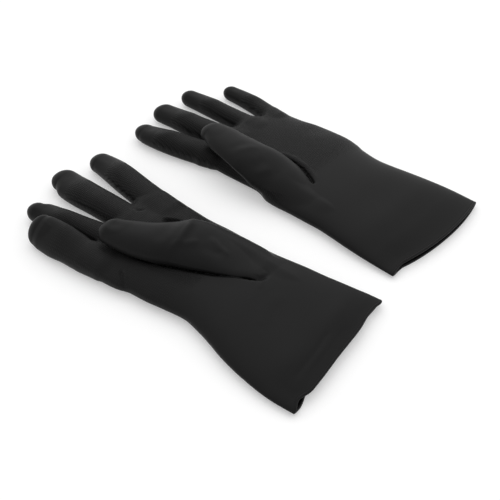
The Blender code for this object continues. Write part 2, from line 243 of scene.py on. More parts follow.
# --------------------------------------------------------------------------- left glove
LEFT = {
    "wrist": 88.0, "knuckle": 256.0, "thumb_root": 200.0,
    "body": Tube([
        (-14, -2.4, 70.4, 4.2, 4.0, 4.0, 2.6, 2.8),
        (0, -2.4, 70.4, 4.2, 4.2, 4.0, 2.6, 2.8),
        (25, -1.0, 69.5, 5.8, 7.8, 5.8, 2.4, 3.0),
        (50, 0.9, 67.1, 7.4, 10.6, 7.4, 2.3, 3.0),
        (75, 2.0, 63.9, 8.0, 11.8, 8.0, 2.3, 3.0),
        (88, 2.9, 62.3, 8.3, 12.2, 8.3, 2.3, 3.0),
        (105, 4.1, 61.6, 8.5, 12.6, 8.5, 2.3, 3.0),
        (128, 3.0, 63.5, 8.8, 12.8, 8.8, 2.3, 3.0),
        (138, 1.5, 65.4, 8.9, 12.8, 8.9, 2.3, 3.0),
        (150, 0.2, 66.2, 9.0, 12.8, 9.0, 2.4, 3.0),
        (170, -2.3, 63.6, 9.0, 12.6, 9.0, 2.5, 3.0),
        (190, -1.2, 63.3, 9.0, 12.4, 9.0, 2.6, 3.0),
        (210, 1.8, 61.2, 9.0, 12.2, 9.0, 2.7, 3.0),
        (230, 3.2, 60.3, 9.0, 11.9, 9.0, 2.8, 3.0),
        (243, 5.4, 62.6, 9.0, 11.2, 9.0, 2.8, 3.0),
    ], 14, 13),
    "thumb": Tube([
        (108, 38.4, 10.0, 8.8, 6.5, 6.5, 2.0, 2.0, 0),
        (127, 40.4, 18.4, 11.8, 10.0, 8.0, 2.0, 2.2, 0),
        (151, 40.8, 25.6, 15.4, 13.4, 8.0, 2.1, 2.3, 0),
        (168, 42.6, 27.4, 20.0, 13.8, 8.0, 2.1, 2.2, 0),
        (180, 44.0, 25.8, 24.4, 12.8, 7.8, 2.1, 2.0, 0),
        (193, 46.2, 23.6, 28.4, 11.4, 7.8, 2.0, 1.8, 0),
        (211, 46.6, 21.0, 31.4, 9.6, 8.2, 2.0, 1.7, 0),
        (231, 45.2, 18.6, 32.8, 8.6, 8.6, 2.0, 1.8, 0),
        (244, 43.4, 14.4, 33.0, 8.2, 8.4, 2.0, 2.0, 0),
    ], 14, 12.5),
    "fingers": {
        "index": Tube([
            (234, 49.0, 15.2, 9.3, 10.6, 9.3, 2.4, 2.6),
            (252, 54.3, 15.5, 9.3, 10.9, 9.3, 2.4, 2.6),
            (268, 58.8, 15.3, 9.4, 11.2, 9.4, 2.3, 2.5),
            (290, 64.3, 14.6, 10.2, 11.2, 10.0, 2.2, 2.4),
            (306, 67.2, 13.6, 9.8, 9.8, 9.4, 2.2, 2.3),
            (316, 68.4, 12.8, 9.2, 8.8, 8.8, 2.2, 2.2),
            (321.5, 68.8, 11.4, 9.0, 8.2, 8.6, 2.2, 2.2),
        ], 12, 13.0),
        "middle": Tube([
            (234, 16.6, 14.4, 9.3, 10.6, 9.3, 2.4, 2.6),
            (252, 19.4, 14.6, 9.3, 10.9, 9.3, 2.4, 2.6),
            (271, 22.2, 14.6, 9.4, 11.2, 9.4, 2.3, 2.5),
            (296, 25.8, 14.0, 10.2, 11.2, 10.0, 2.2, 2.4),
            (318, 27.2, 13.2, 9.6, 10.2, 9.4, 2.2, 2.3),
            (335, 28.6, 13.2, 9.0, 9.2, 8.6, 2.2, 2.2),
        ], 12, 12.5),
        "ring": Tube([
            (234, -15.2, 12.4, 9.3, 10.4, 9.3, 2.4, 2.6),
            (252, -15.4, 11.6, 9.2, 10.6, 9.2, 2.4, 2.6),
            (271, -15.2, 11.4, 9.0, 10.4, 9.0, 2.3, 2.5),
            (296, -14.2, 11.4, 9.6, 10.4, 9.2, 2.2, 2.4),
            (321, -13.8, 10.8, 9.0, 9.6, 8.8, 2.2, 2.3),
            (336, -13.0, 10.2, 8.6, 9.0, 8.4, 2.2, 2.2),
        ], 12, 12.0),
        "little": Tube([
            (234, -44.6, 10.8, 9.0, 9.8, 9.0, 2.4, 2.6),
            (252, -48.4, 10.6, 8.8, 9.4, 8.8, 2.3, 2.5),
            (271, -51.8, 10.4, 8.6, 9.0, 8.4, 2.2, 2.4),
            (294, -53.0, 9.4, 8.4, 8.8, 8.0, 2.2, 2.3),
            (310, -53.3, 8.8, 7.8, 8.2, 7.6, 2.2, 2.2),
        ], 12, 11),
    },
    "splits": [(37.5, 0.2), (2.6, 0.05), (-33.4, -0.05)],
    "melt": (1, -8, 6, 150, 172, 8.0),
    "webs": [(-34, 10, 6)],
}


def tip_pads(x, y, g, name):
    """Fingertips flatten into a pad with a soft rim, and arch up behind it."""
    tube = g["fingers"].get(name)
    if tube is None:
        return 0.0
    xc, a = tube.at(y)[:2]
    u = x - xc
    end = tube.y1 + tube.tip
    pad = -0.7 * np.exp(-((u / (0.6 * a)) ** 2) - ((y - end + 19) / 11) ** 2)
    middle = np.exp(-((u / (0.8 * a)) ** 2))
    arch = 0.55 * middle * np.exp(-((y - end + 43 - 0.25 * u) / 7.0) ** 2)
    arch -= 0.35 * middle * np.exp(-((y - end + 60) / 9.0) ** 2)
    return pad + arch


def right_relief(P, part, g):
    """Dents, ridges and creases of the right-hand glove, outwards positive, in mm."""
    x, y, z = P[:, 0], P[:, 1], P[:, 2]
    if part == "body":
        top = step01(z, 9, 14)
        r = blob(x, y, -5, 60, 40, 26, -1.2) + blob(x, y, 30, 20, 26, 12, 0.9) + blob(x, y, -35, 25, 20, 12, 0.7)
        r += groove(x, y, [(-46, 8), (-5, 8), (25, 9)], 2.0, -0.30)
        r += groove(x, y, [(-50, 14), (-10, 15), (12, 17)], 2.2, -0.35)
        # the palm sinks towards the fold of the thumb
        fold = [(-30, 238), (-26, 215), (-23, 195), (-17, 176), (-8, 155), (6, 126), (17, 106), (26, 90)]
        r += groove(x, y, fold, 10.0, 0.6, 0.2)
        under = [(-22, 205), (-21, 195), (-17, 180), (-14, 169), (-6.5, 148), (1.5, 128),
                 (12, 110.5), (16.5, 100), (21, 92.5), (26, 90.5), (33, 90.5)]
        r += groove(x, y, under, 2.4, -4.2, 0.13)
        # palm hollow, heel and knuckle pads
        r += blob(x, y, -28, 150, 12, 30, 0.6) + blob(x, y, 40, 228, 16, 12, -0.8)
        # pinch between thumb and index finger
        r += groove(x, y, [(30, 212), (36, 202), (40.5, 192.5)], 3.4, -5.2, 0.35)
        r += groove(x, y, [(34, 214), (39, 204), (43.5, 194)], 1.8, 0.9, 0.3)
        # crotch of index and middle finger runs on into the palm
        r += groove(x, y, [(34, 253), (28.5, 243), (27.5, 238.5), (31, 236), (36, 234.5)], 1.8, -2.2, 0.3)
        r += groove(x, y, [(5, 256), (7, 246)], 1.8, -1.4, 0.3)
        # crease on the edge of the palm under the little finger
        r += groove(x, y, [(-40, 199), (-46, 191), (-52, 184)], 1.5, -1.6, 0.2)
        r += groove(x, y, [(-38, 196), (-45, 187)], 2.0, 0.7, 0.3)
        # wrinkles near the wrist
        r += groove(x, y, [(33, 99), (31, 92), (26, 87)], 2.0, -0.5, 0.3)
        r += groove(x, y, [(23, 92), (15, 88), (8, 86)], 2.4, 0.25, 0.3)
        r += groove(x, y, [(-25, 62), (0, 70), (20, 66)], 6.0, 0.2)
        return r * top
    if part == "thumb":
        top = step01(z, 26, 31)
        r = groove(x, y, [(42, 180), (25, 171), (2, 166), (-12, 167), (-18, 170)], 3.4, 1.3, 0.25)
        r += groove(x, y, [(28, 186), (6, 180), (-14, 181)], 7.0, -0.9, 0.3)
        r += groove(x, y, [(-2, 165), (8, 157), (16, 152)], 3.6, 0.7, 0.3)
        r += groove(x, y, [(26, 152), (22, 136), (22, 120)], 3.6, 0.7, 0.3)
        r += groove(x, y, [(12, 150), (14, 138), (18, 128)], 4.5, -0.5, 0.3)
        r += blob(x, y, -14, 228, 7, 9, -1.3)
        return r * top
    return tip_pads(x, y, g, part) * step01(z, 9, 16)


def left_relief(P, part, g):
    x, y, z = P[:, 0], P[:, 1], P[:, 2]
    if part == "body":
        top = step01(z, 9, 14)
        r = blob(x, y, 0, 60, 40, 26, -1.2)
        # the palm sinks towards the fold of the thumb
        fold = [(18, 186), (15, 172), (14.5, 163), (17, 147), (22, 134), (28.5, 122)]
        r += groove(x, y, fold, 1.35, -7.0, 0.12)
        r += groove(x, y, [(v[0] - 5.5, v[1]) for v in fold], 2.2, 0.7, 0.2)
        # shaded hollow of the palm under the near side of the thumb
        r += groove(x, y, [(57, 244), (60, 215), (63, 186)], 5.0, -2.6, 0.2)
        r += blob(x, y, -48, 185, 16, 14, -1.0) + blob(x, y, 20, 222, 20, 16, -0.8)
        r += groove(x, y, [(36, 268), (33, 254), (32, 246)], 2.0, -2.0, 0.25)
        r += groove(x, y, [(2, 266), (2.5, 250)], 1.8, -1.2, 0.3)
        return r * top
    if part == "thumb":
        top = step01(z, 26, 31)
        r = groove(x, y, [(62, 200), (54, 196), (45, 192), (36, 186)], 4.0, 0.45, 0.35)
        r += groove(x, y, [(64, 207), (52, 203), (40, 198)], 4.5, -0.35, 0.35)
        r += groove(x, y, [(68, 168), (58, 164), (46, 160)], 4.0, 0.5, 0.35)
        r += groove(x, y, [(66, 176), (54, 173), (42, 170)], 5.0, -0.45, 0.35)
        r += groove(x, y, [(68, 147), (56, 143), (46, 137)], 4.5, 0.4, 0.35)
        r += groove(x, y, [(68, 156), (56, 153), (42, 150)], 4.5, -0.35, 0.35)
        r += blob(x, y, 42, 246, 8, 8, -0.6)
        return r * top
    return tip_pads(x, y, g, part) * step01(z, 9, 16)


RIGHT["relief"], LEFT["relief"] = right_relief, left_relief


def field(P, g):
    """Distance-like value: negative inside the glove.  Also which part is nearest."""
    B = P.copy()
    for x, half, far in g["webs"]:
        B[:, 1] += far * np.exp(-(((P[:, 0] - x) / half) ** 2)) * step01(P[:, 1], 215, 245)
    body = g["body"].distance(B) - g["relief"](P, "body", g)
    thumb = g["thumb"].distance(P) - g["relief"](P, "thumb", g)
    fingers = None
    for name, tube in g["fingers"].items():
        d = tube.distance(P) - g["relief"](P, name, g)
        fingers = d if fingers is None else smin(fingers, d, 0.8)
    hand = smin(body, fingers, 5.0)
    s, x0, x1, y0, y1, amount = g["melt"]
    across = (P[:, 0] - g["thumb"].at(P[:, 1])[0]) * s
    k = 0.8 + amount * step01(across, x0, x1) * (1 - step01(P[:, 1], y0, y1))
    k = k + 4.0 * (1 - step01(P[:, 1], 92, 112)) * step01(across, -6, 6)
    joined = smin(hand, thumb, k)
    # pressed flat by the floor
    floor = 0.15 - P[:, 2]
    h = np.clip(0.5 + 0.5 * (joined - floor) / 1.2, 0, 1)
    out = joined * h + floor * (1 - h) + 1.2 * h * (1 - h)
    return out, thumb < hand


def value(P, g):
    return field(P, g)[0]


def gradient(P, g, e=0.06):
    out = np.zeros_like(P)
    for k in range(3):
        d = np.zeros(3)
        d[k] = e
        out[:, k] = (value(P + d, g) - value(P - d, g)) / (2 * e)
    return out


def chunked(fn, P, *args, size=400000):
    return np.concatenate([fn(P[i:i + size], *args) for i in range(0, len(P), size)])


# ------------------------------------------------------------------------------ meshing
def surface_nets(g, level, cell):
    """Quads of the surface where the field equals level."""
    lo = np.array([-86.0, -8.0, -3.0])
    hi = np.array([96.0, 356.0, 56.0])
    n = np.ceil((hi - lo) / cell).astype(int) + 1
    axes = [lo[k] + cell * np.arange(n[k]) for k in range(3)]
    f = np.empty(n, np.float32)
    for i in range(0, n[1], 24):
        X, Y, Z = np.meshgrid(axes[0], axes[1][i:i + 24], axes[2], indexing="ij")
        f[:, i:i + 24] = (value(np.stack([X.ravel(), Y.ravel(), Z.ravel()], 1), g) - level).reshape(X.shape)
    s = f < 0
    c = np.zeros(np.array(f.shape) - 1, np.int8)
    corners = [(i, j, k) for i in (0, 1) for j in (0, 1) for k in (0, 1)]
    view = lambda a, i, j, k: a[i:a.shape[0] - 1 + i, j:a.shape[1] - 1 + j, k:a.shape[2] - 1 + k]
    for i, j, k in corners:
        c += view(s, i, j, k)
    active = (c > 0) & (c < 8)
    index = np.full(c.shape, -1, np.int64)
    cells = np.argwhere(active)
    index[active] = np.arange(len(cells))
    total = np.zeros((len(cells), 3))
    count = np.zeros(len(cells))
    vals = {o: f[cells[:, 0] + o[0], cells[:, 1] + o[1], cells[:, 2] + o[2]] for o in corners}
    for o in corners:
        for k in range(3):
            if o[k] == 0:
                q = list(o)
                q[k] = 1
                a, b = vals[o], vals[tuple(q)]
                cross = (a < 0) != (b < 0)
                with np.errstate(divide="ignore", invalid="ignore"):
                    t = np.where(cross, a / (a - b), 0)
                point = np.array(o, float)[None].repeat(len(cells), 0)
                point[:, k] = t
                total += point * cross[:, None]
                count += cross
    verts = lo + cell * (cells + total / count[:, None])
    quads = []
    for k in range(3):
        a, b = [m for m in range(3) if m != k]
        sl0 = [slice(1, -1)] * 3
        sl0[k] = slice(0, -1)
        sl1 = list(sl0)
        sl1[k] = slice(1, None)
        s0, s1 = s[tuple(sl0)], s[tuple(sl1)]
        at = np.argwhere(s0 != s1)
        at_in = s0[s0 != s1]
        base = at.copy()
        for m in (a, b):
            base[:, m] += 1
        def cell_at(da, db):
            q = base.copy()
            q[:, a] += da
            q[:, b] += db
            return index[q[:, 0], q[:, 1], q[:, 2]]
        q = np.stack([cell_at(-1, -1), cell_at(0, -1), cell_at(0, 0), cell_at(-1, 0)], 1)
        flip = at_in if k != 1 else ~at_in
        q[~flip] = q[~flip][:, ::-1]
        quads.append(q)
    quads = np.concatenate(quads)
    return verts, quads[(quads >= 0).all(1)]


def settle(P, g, level, rounds=4):
    """Moves points onto the surface along its gradient."""
    for _ in range(rounds):
        d = gradient(P, g)
        n2 = np.maximum((d * d).sum(1), 1e-3)
        f = value(P, g) - level
        move = -(f / n2)[:, None] * d
        size = np.linalg.norm(move, axis=1)
        P = P + move * np.minimum(1, 0.8 / np.maximum(size, 1e-9))[:, None]
    return P


def relax(P, quads, g, level, rounds=2):
    """Evens out the mesh along the surface."""
    edges = np.concatenate([quads[:, [0, 1]], quads[:, [1, 2]], quads[:, [2, 3]], quads[:, [3, 0]]])
    for _ in range(rounds):
        total = np.zeros_like(P)
        count = np.zeros(len(P))
        for a, b in ((0, 1), (1, 0)):
            for k in range(3):
                total[:, k] += np.bincount(edges[:, a], P[edges[:, b], k], len(P))
            count += np.bincount(edges[:, a], minlength=len(P))
        mean = total / np.maximum(count, 1)[:, None]
        d = gradient(P, g)
        d /= np.maximum(np.linalg.norm(d, axis=1), 1e-6)[:, None]
        move = mean - P
        move -= (move * d).sum(1)[:, None] * d
        P = settle(P + 0.6 * move, g, level, 1)
    return P


PIECES = ("hand", "cuff", "thumb", "index", "middle", "ring", "little")


def piece_of(C, thumb, g):
    """Which piece each face belongs to, by its middle."""
    x, y = C[:, 0], C[:, 1]
    out = np.zeros(len(C), int)
    out[y < g["wrist"]] = 1
    far = (y > g["knuckle"]) & ~thumb
    x0 = [g["splits"][k][0] + g["splits"][k][1] * (y - g["knuckle"]) for k in range(3)]
    out[far & (x >= x0[0])] = 3
    out[far & (x < x0[0]) & (x >= x0[1])] = 4
    out[far & (x < x0[1]) & (x >= x0[2])] = 5
    out[far & (x < x0[2])] = 6
    out[(y > g["thumb_root"]) & thumb] = 2
    return out


def is_thumb(P, g, level):
    _, t = field(P, g)
    return t & (P[:, 1] > g["thumb_root"] - 12)


def divide(verts, quads, g, level):
    """Cuts the mesh along the borders of the pieces.  Returns points, triangles and the piece of each triangle."""
    mesh = bpy.data.meshes.new("work")
    mesh.from_pydata(verts.tolist(), [], quads.tolist())
    bm = bmesh.new()
    bm.from_mesh(mesh)
    bm.faces.ensure_lookup_table()
    thumb = is_thumb(verts, g, level)
    mark = bm.verts.layers.int.new("thumb")
    for v, t in zip(bm.verts, thumb.tolist()):
        v[mark] = int(t)

    def cut(co, no, keep):
        faces = [f for f in bm.faces if keep(f)]
        geom = list({v for f in faces for v in f.verts}) + list({e for f in faces for e in f.edges}) + faces
        bmesh.ops.bisect_plane(bm, geom=geom, dist=1e-4, plane_co=co, plane_no=no)

    near = lambda f, y: abs(f.verts[0].co.y - y) < 4
    cut((0, 0, 0), (0, 1, 0), lambda f: near(f, 0))
    cut((0, g["wrist"], 0), (0, 1, 0), lambda f: near(f, g["wrist"]))
    cut((0, g["thumb_root"], 0), (0, 1, 0), lambda f: near(f, g["thumb_root"]) and f.verts[0][mark])
    cut((0, g["knuckle"], 0), (0, 1, 0), lambda f: near(f, g["knuckle"]) and not any(v[mark] for v in f.verts))
    for x0, slope in g["splits"]:
        cut((x0, g["knuckle"], 0), Vector((1, -slope, 0)).normalized(),
            lambda f: f.calc_center_median().y > g["knuckle"] - 1e-3 and abs(f.verts[0].co.x - x0) < 8
            and not any(v[mark] for v in f.verts))
    gone = [f for f in bm.faces if f.calc_center_median().y < 0]
    bmesh.ops.delete(bm, geom=gone, context="FACES")
    bmesh.ops.triangulate(bm, faces=bm.faces[:])
    bm.verts.index_update()
    P = np.array([v.co[:] for v in bm.verts])
    T = np.array([[v.index for v in f.verts] for f in bm.faces])
    th = np.array([any(v[mark] for v in f.verts) for f in bm.faces])
    bm.free()
    bpy.data.meshes.remove(mesh)
    C = P[T].mean(1)
    thf = is_thumb(C, g, level) | (th & (C[:, 1] < g["thumb_root"] + 3) & (C[:, 1] > g["thumb_root"]))
    return P, T, piece_of(C, thf, g)


def loops_of(T):
    """Border loops of a triangle set, as ordered vertex indices."""
    e = np.concatenate([T[:, [0, 1]], T[:, [1, 2]], T[:, [2, 0]]])
    key = set(map(tuple, e.tolist()))
    nxt = {}
    for a, b in key:
        if (b, a) not in key:
            nxt[a] = b
    loops = []
    while nxt:
        start, b = next(iter(nxt.items()))
        loop = [start]
        del nxt[start]
        while b != start:
            loop.append(b)
            if b not in nxt:
                break
            b = nxt.pop(b)
        loops.append(loop)
    return loops


def zipper(A, B, ia, ib):
    """Triangles between two border loops that run the same way round."""
    pa, pb = A[ia], B[ib]
    j = int(np.argmin(((pb[None] - pa[0]) ** 2).sum(-1)))
    ib = ib[j:] + ib[:j]
    pb = B[ib]
    n, m = len(ia), len(ib)
    tri = []
    i = k = 0
    while i < n or k < m:
        a, b = pa[i % n], pb[k % m]
        da = ((pa[(i + 1) % n] - b) ** 2).sum() if i < n else 1e18
        db = ((pb[(k + 1) % m] - a) ** 2).sum() if k < m else 1e18
        # keep the two walks level with each other
        if i < n and (k >= m or da <= db):
            tri.append((("a", ia[i % n]), ("a", ia[(i + 1) % n]), ("b", ib[k % m])))
            i += 1
        else:
            tri.append((("a", ia[i % n]), ("b", ib[(k + 1) % m]), ("b", ib[k % m])))
            k += 1
    return tri


# --------------------------------------------------------------------------- mouth warp
def tidy(T, K):
    """Gives each small stray patch of triangles to the piece round it, so a piece is one patch."""
    T, K = np.asarray(T), np.array(K)
    e = np.sort(np.concatenate([T[:, [0, 1]], T[:, [1, 2]], T[:, [2, 0]]]), 1)
    owner = np.tile(np.arange(len(T)), 3)
    order = np.lexsort((e[:, 1], e[:, 0]))
    e, owner = e[order], owner[order]
    same = (e[1:] == e[:-1]).all(1)
    pairs = np.stack([owner[:-1][same], owner[1:][same]], 1)
    label = np.arange(len(T))
    inside = pairs[K[pairs[:, 0]] == K[pairs[:, 1]]]
    for _ in range(400):
        low = np.minimum(label[inside[:, 0]], label[inside[:, 1]])
        new = label.copy()
        np.minimum.at(new, inside[:, 0], low)
        np.minimum.at(new, inside[:, 1], low)
        np.minimum.at(new, label, new.copy())
        new = new[new]
        if (new == label).all():
            break
        label = new
    across = pairs[K[pairs[:, 0]] != K[pairs[:, 1]]]
    for k in np.unique(K):
        names, counts = np.unique(label[K == k], return_counts=True)
        for name, count in zip(names, counts):
            if count < 0.2 * counts.max():
                mine = label == name
                left = K[across[mine[across[:, 0]]][:, 1]]
                right = K[across[mine[across[:, 1]]][:, 0]]
                near = np.concatenate([left, right])
                near = near[near != k]
                if len(near):
                    K[mine] = np.bincount(near).argmax()
    return K


def cap(r):
    """Closes a border that has no partner with a strip of triangles across it."""
    out, i, j = [], 0, len(r) - 1
    while j - i > 1:
        out.append([r[i], r[i + 1], r[j]])
        i += 1
        if j - i > 1:
            out.append([r[i], r[j - 1], r[j]])
            j -= 1
    return out


def mouth_right(x, z):
    """How far the edge of the cuff mouth lies from y = 0, upper lip and lower lip."""
    upper = -2.3 - 0.7 * step01(-x, 5, 30) + 0.02 * (x - 0) + 2.2 * step01(x, 20, 66) + 4.2 * np.exp(-(((x + 60) / 8) ** 2))
    upper += 1.0 * np.exp(-(((x - 48) / 12) ** 2)) - 1.1 * np.exp(-(((x - 68) / 6) ** 2))
    lower = 3.2 + 0.02 * x - 4.7 * step01(-x, 42, 64) - 1.5 * step01(x, 40, 70)
    t = step01(z, 3.0, 7.0)
    return lower * (1 - t) + upper * t


def mouth_left(x, z):
    s = (x + 14) / 64
    upper = 1.8 - 8.2 * np.maximum(1 - s * s, 0) - 1.5 * step01(x, 55, 70)
    lower = upper + 0.8 * np.exp(-(((x + 5) / 40) ** 2))
    t = step01(z, 3.0, 7.0)
    return lower * (1 - t) + upper * t


RIGHT["mouth"], LEFT["mouth"] = mouth_right, mouth_left


def warp(P, g):
    """Shapes the mouth: moves points near it along y."""
    fade = (1 - step01(P[:, 1], 0, 45)) ** 1.5
    Q = P.copy()
    Q[:, 1] += g["mouth"](P[:, 0], P[:, 2]) * fade
    return Q


def place(P, side, g):
    """From a glove's own frame, mm, to the row frame, metres."""
    px, py, a, s = PLACE[side]
    a = math.radians(a)
    x, y = P[:, 0] * s, P[:, 1]
    return np.stack([px + x * math.cos(a) - y * math.sin(a), py + x * math.sin(a) + y * math.cos(a), P[:, 2]], 1) / 1000


def skin_normals(P, g, side, level):
    """Exact outward normals after the mouth warp and the placing."""
    e = 0.05
    n = gradient(P, g)
    J = np.zeros((len(P), 3, 3))
    for k in range(3):
        d = np.zeros(3)
        d[k] = e
        J[:, :, k] = (warp(P + d, g) - warp(P - d, g)) / (2 * e)
    n = np.einsum("nij,nj->ni", np.linalg.inv(J).transpose(0, 2, 1), n)
    a = math.radians(PLACE[side][2])
    x, y = n[:, 0] * PLACE[side][3], n[:, 1]
    n = np.stack([x * math.cos(a) - y * math.sin(a), x * math.sin(a) + y * math.cos(a), n[:, 2]], 1)
    return n / np.maximum(np.linalg.norm(n, axis=1), 1e-9)[:, None]


# ------------------------------------------------------------------------------ objects
def make_object(name, P, T, N, uv, grip, pad, mat):
    mesh = bpy.data.meshes.new(name)
    mesh.vertices.add(len(P))
    mesh.vertices.foreach_set("co", P.astype(np.float32).ravel())
    mesh.loops.add(len(T) * 3)
    mesh.loops.foreach_set("vertex_index", T.astype(np.int32).ravel())
    mesh.polygons.add(len(T))
    mesh.polygons.foreach_set("loop_start", np.arange(0, len(T) * 3, 3, dtype=np.int32))
    mesh.polygons.foreach_set("loop_total", np.full(len(T), 3, np.int32))
    mesh.update(calc_edges=True)
    mesh.validate()
    layer = mesh.uv_layers.new(name="UVMap")
    layer.data.foreach_set("uv", uv[T.ravel()].astype(np.float32).ravel())
    attr = mesh.attributes.new("grip", "FLOAT", "POINT")
    attr.data.foreach_set("value", grip.astype(np.float32))
    # the pad attribute carries painted shade for the up-facing fingertip and thumb pads
    attr = mesh.attributes.new("pad", "FLOAT", "POINT")
    attr.data.foreach_set("value", pad.astype(np.float32))
    mesh.shade_smooth()
    if N is not None:
        mesh.normals_split_custom_set_from_vertices(N.tolist())
    mesh.materials.append(mat)
    obj = bpy.data.objects.new(name, mesh)
    bpy.context.scene.collection.objects.link(obj)
    return obj


def grip_mask(P, N, g):
    """Where the palm side carries the fine grip pattern, 0 to 1, in the glove's own frame."""
    x, y, z = P[:, 0], P[:, 1], P[:, 2]
    up = step01(N[:, 2], -0.1, 0.45)
    palm = step01(y, 128, 150)
    tips = np.ones(len(P))
    for name, t in g["fingers"].items():
        xc, a = t.at(y)[:2]
        end = t.y1 + t.tip
        on = (np.abs(x - xc) < a + 3) & (y > g["knuckle"] + 10)
        tips = np.where(on, 1 - step01(y, end - 40, end - 30), tips)
    if g is RIGHT:
        # worn smooth along the little finger side
        palm = palm * (1 - 0.85 * step01(-x, 14, 30))
    return up * palm * tips


def pad_shade_mask(P, N, g):
    """Painted shade on the smooth, up-facing pads of the fingertips and the thumb, 0 to 1."""
    x, y, z = P[:, 0], P[:, 1], P[:, 2]
    out = np.zeros(len(P))
    for name, t in list(g["fingers"].items()) + [("thumb", g["thumb"])]:
        xc, a = t.at(y)[:2]
        end = t.y1 + t.tip
        r = np.hypot((x - xc) / (0.78 * a + 0.01), (y - end + 17) / 13.5)
        high = z > 26 if name == "thumb" else z <= 26
        out = np.maximum(out, (1 - step01(r, 0.72, 1.08)) * high)
    return out * step01(N[:, 2], 0.1, 0.5)


def build_glove(side, g, mat):
    verts, quads = surface_nets(g, 0.0, CELL)
    verts = settle(verts, g, 0.0)
    verts = relax(verts, quads, g, 0.0, 3)
    verts = settle(verts, g, 0.0, 2)
    P, T, K = divide(verts, quads, g, 0.0)
    N = skin_normals(P, g, side, 0.0)
    inner, iquads = surface_nets(g, -WALL, CELL_IN)
    inner = settle(inner, g, -WALL)
    IP, IT, IK = divide(inner, iquads, g, -WALL)
    K, IK = tidy(T, K), tidy(IT, IK)
    IN = -skin_normals(IP, g, side, -WALL)
    a = math.radians(PLACE[side][2])
    local = N.copy()
    thumb = is_thumb(P, g, 0.0)
    grip = grip_mask(P, N, g) * (~(field(P, g)[1] & (P[:, 2] > 20)))
    # painted shade: the up-facing fingertip and thumb pads are darkened in the base colour
    pad = pad_shade_mask(P, N, g)
    uv = P[:, :2] / 100
    iuv = IP[:, :2] / 100
    W, IW = place(warp(P, g), side, g), place(warp(IP, g), side, g)
    mirrored = PLACE[side][3] < 0
    made = {}
    for k, name in enumerate(PIECES):
        t, it = T[K == k], IT[IK == k][:, ::-1]
        lo, li = loops_of(t), loops_of(it)
        used, back = np.unique(t, return_inverse=True)
        iused, iback = np.unique(it, return_inverse=True)
        omap = {int(v): i for i, v in enumerate(used)}
        imap = {int(v): i + len(used) for i, v in enumerate(iused)}
        faces = [back.reshape(-1, 3), iback.reshape(-1, 3) + len(used)]
        # rims: match each outer border with the inner border nearest to it
        free = list(range(len(li)))
        rim = []
        for loop in sorted(lo, key=len, reverse=True):
            if not free:
                rim += cap([omap[int(i)] for i in loop[::-1]])
                continue
            mid = P[loop].mean(0)
            j = min(free, key=lambda q: np.linalg.norm(IP[li[q]].mean(0) - mid))
            free.remove(j)
            outer = loop[::-1]
            other = li[j]
            for tri in zipper(P, IP, outer, list(other)):
                rim.append([omap[i] if w == "a" else imap[i] for w, i in tri])
        for j in free:
            rim += cap([imap[int(i)] for i in li[j][::-1]])
        if rim:
            faces.append(np.array(rim))
        F = np.concatenate(faces)
        if mirrored:
            F = F[:, ::-1]
        pts = np.concatenate([W[used], IW[iused]])
        nrm = np.concatenate([N[used], IN[iused]])
        U = np.concatenate([uv[used], iuv[iused]])
        G = np.concatenate([grip[used], np.zeros(len(iused))])
        D = np.concatenate([pad[used], np.zeros(len(iused))])
        made[name] = make_object(f"{side}_{name}_skin", pts, F, nrm, U, G, D, mat)
    # the mouth's border, in order, for the bead
    cuff = T[K == 1]
    border = min(loops_of(cuff), key=lambda q: P[q][:, 1].mean())
    return made, P[border], W[border]


def bead(side, g, ring, mat):
    """The rolled bead: a tube that follows the edge of the mouth."""
    n = len(ring)
    step = np.linalg.norm(np.roll(ring, -1, 0) - ring, axis=1)
    s = np.concatenate([[0], np.cumsum(step)])
    count = 220
    target = np.linspace(0, s[-1], count, endpoint=False)
    closed = np.vstack([ring, ring[:1]])
    path = np.stack([np.interp(target, s, closed[:, k]) for k in range(3)], 1)
    for _ in range(3):
        path = (np.roll(path, 1, 0) + 2 * path + np.roll(path, -1, 0)) / 4
    normal = gradient(path, g)
    normal /= np.linalg.norm(normal, axis=1)[:, None]
    path = path - 0.55 * normal
    W = warp(path, g)
    tangent = np.roll(W, -1, 0) - np.roll(W, 1, 0)
    tangent /= np.linalg.norm(tangent, axis=1)[:, None]
    normal -= (normal * tangent).sum(1)[:, None] * tangent
    normal /= np.linalg.norm(normal, axis=1)[:, None]
    side_dir = np.cross(tangent, normal)
    sides = 12
    rings = []
    for k in range(sides):
        a = 2 * math.pi * k / sides
        rings.append(W + 1.25 * (math.cos(a) * normal + math.sin(a) * side_dir))
    V = np.stack(rings, 1).reshape(-1, 3)
    V[:, 2] = np.maximum(V[:, 2], 0.12)
    F = []
    for i in range(count):
        j = (i + 1) % count
        for k in range(sides):
            m = (k + 1) % sides
            F += [(i * sides + k, j * sides + k, j * sides + m), (i * sides + k, j * sides + m, i * sides + m)]
    F = np.array(F)
    pts = place(V, side, g)
    # faces outwards
    c = pts[F].mean(1)
    mid = place(W, side, g)[F[:, 0] // sides]
    nn = np.cross(pts[F[:, 1]] - pts[F[:, 0]], pts[F[:, 2]] - pts[F[:, 0]])
    if ((c - mid) * nn).sum() < 0:
        F = F[:, ::-1]
    return make_object(f"{side}_mouth_bead", pts, F, None, V[:, :2] / 100, np.zeros(len(V)), np.zeros(len(V)), mat)


